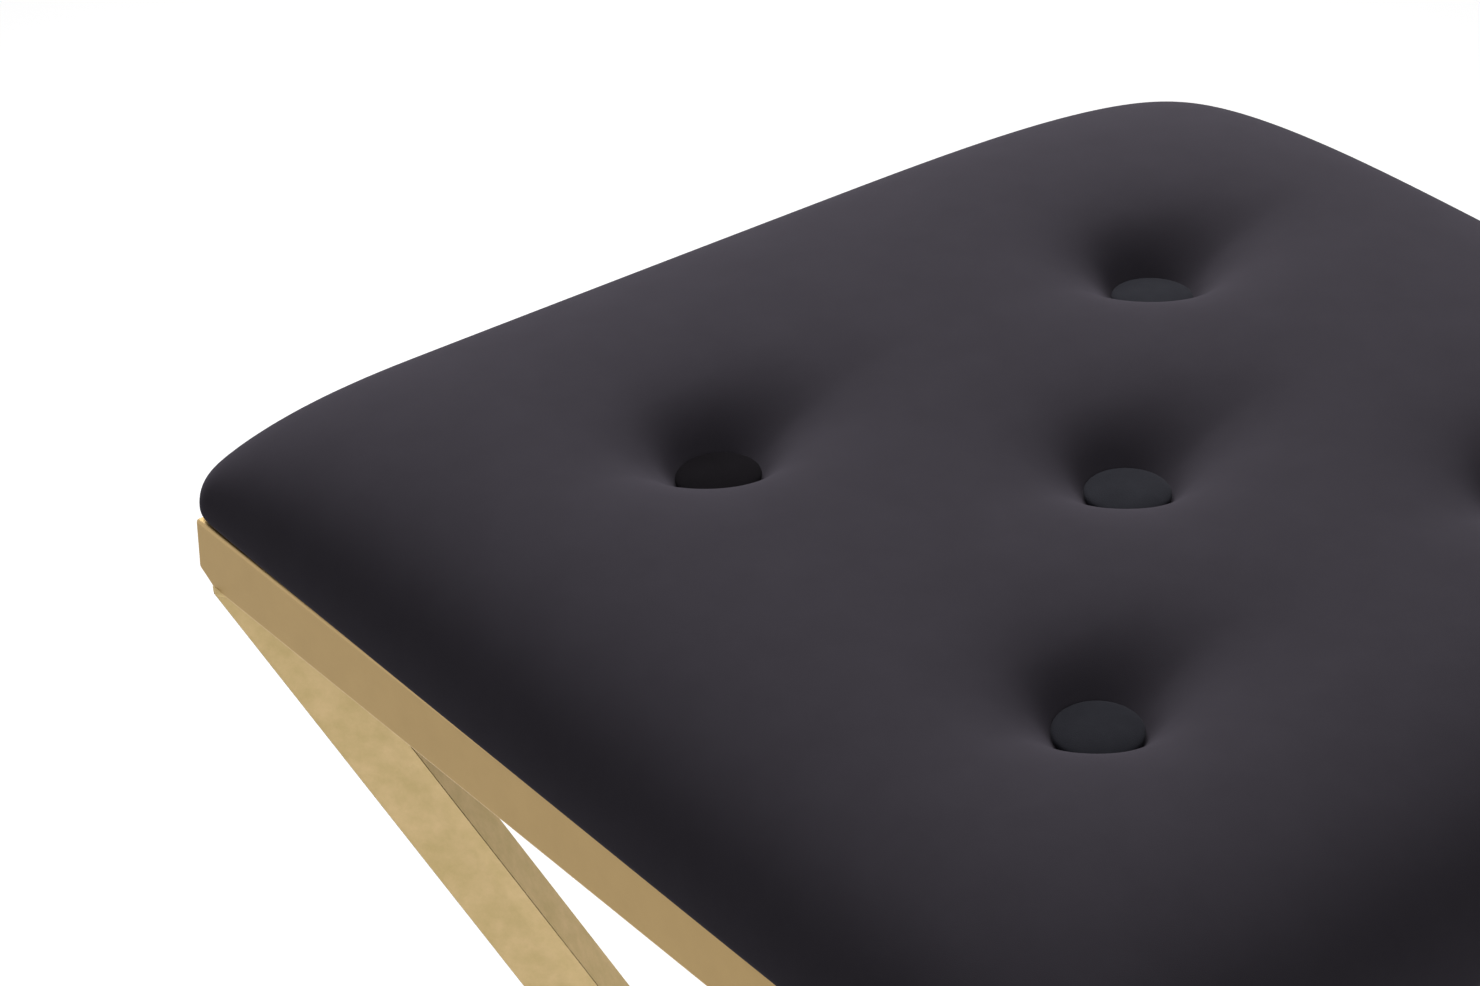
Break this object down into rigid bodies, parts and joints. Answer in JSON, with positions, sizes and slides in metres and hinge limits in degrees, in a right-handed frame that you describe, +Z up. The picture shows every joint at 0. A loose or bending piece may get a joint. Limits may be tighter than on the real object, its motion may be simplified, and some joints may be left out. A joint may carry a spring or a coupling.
{
  "type": "bar stool",
  "caption": "Backless bar stool with a square button-tufted velvet seat on a gold tube frame, with straight legs that cross at a mitred waist and low footrest bars.",
  "frame": {"origin": "on the floor, under the middle of the seat", "axes": "+Z up; -Y towards the front rail, +X towards the right rail"},
  "size_m": [0.38, 0.38, 0.8008],
  "materials": {
    "gold_tube": "satin gold lacquer on steel tube",
    "velvet": "short-pile charcoal velvet",
    "foam": "polyurethane foam",
    "plywood": "raw plywood",
    "black_plastic": "moulded",
    "twine": "waxed twine",
    "zinc_steel": "zinc plated",
    "cambric": "non-woven dust cloth"
  },
  "bodies": {
    "root": {"rail_front": "gold_tube", "rail_right": "gold_tube", "rail_back": "gold_tube", "rail_left": "gold_tube", "corner_plate_front_left": "gold_tube", "corner_plate_front_right": "gold_tube", "corner_plate_back_left": "gold_tube", "corner_plate_back_right": "gold_tube", "leg_upper_front_left": "gold_tube", "leg_upper_front_right": "gold_tube", "leg_upper_back_left": "gold_tube", "leg_upper_back_right": "gold_tube", "leg_lower_front_left": "gold_tube", "leg_lower_front_right": "gold_tube", "leg_lower_back_left": "gold_tube", "leg_lower_back_right": "gold_tube", "footrest_front": "gold_tube", "footrest_right": "gold_tube", "footrest_back": "gold_tube", "footrest_left": "gold_tube", "foot_glide_front_left": "black_plastic", "foot_glide_front_right": "black_plastic", "foot_glide_back_left": "black_plastic", "foot_glide_back_right": "black_plastic", "seat_board": "plywood", "seat_foam": "foam", "velvet_cover": "velvet", "button_front_left": "velvet", "button_front_right": "velvet", "button_back_left": "velvet", "button_back_right": "velvet", "button_centre": "velvet", "tuft_twine_front_left": "twine", "tuft_twine_front_right": "twine", "tuft_twine_back_left": "twine", "tuft_twine_back_right": "twine", "tuft_twine_centre": "twine", "twine_washer_front_left": "black_plastic", "twine_washer_front_right": "black_plastic", "twine_washer_back_left": "black_plastic", "twine_washer_back_right": "black_plastic", "twine_washer_centre": "black_plastic", "tee_nut_front_left": "zinc_steel", "tee_nut_front_right": "zinc_steel", "tee_nut_back_left": "zinc_steel", "tee_nut_back_right": "zinc_steel", "seat_screw_front_left": "zinc_steel", "seat_screw_front_right": "zinc_steel", "seat_screw_back_left": "zinc_steel", "seat_screw_back_right": "zinc_steel", "dust_cover": "cambric"}
  },
  "joints": []
}
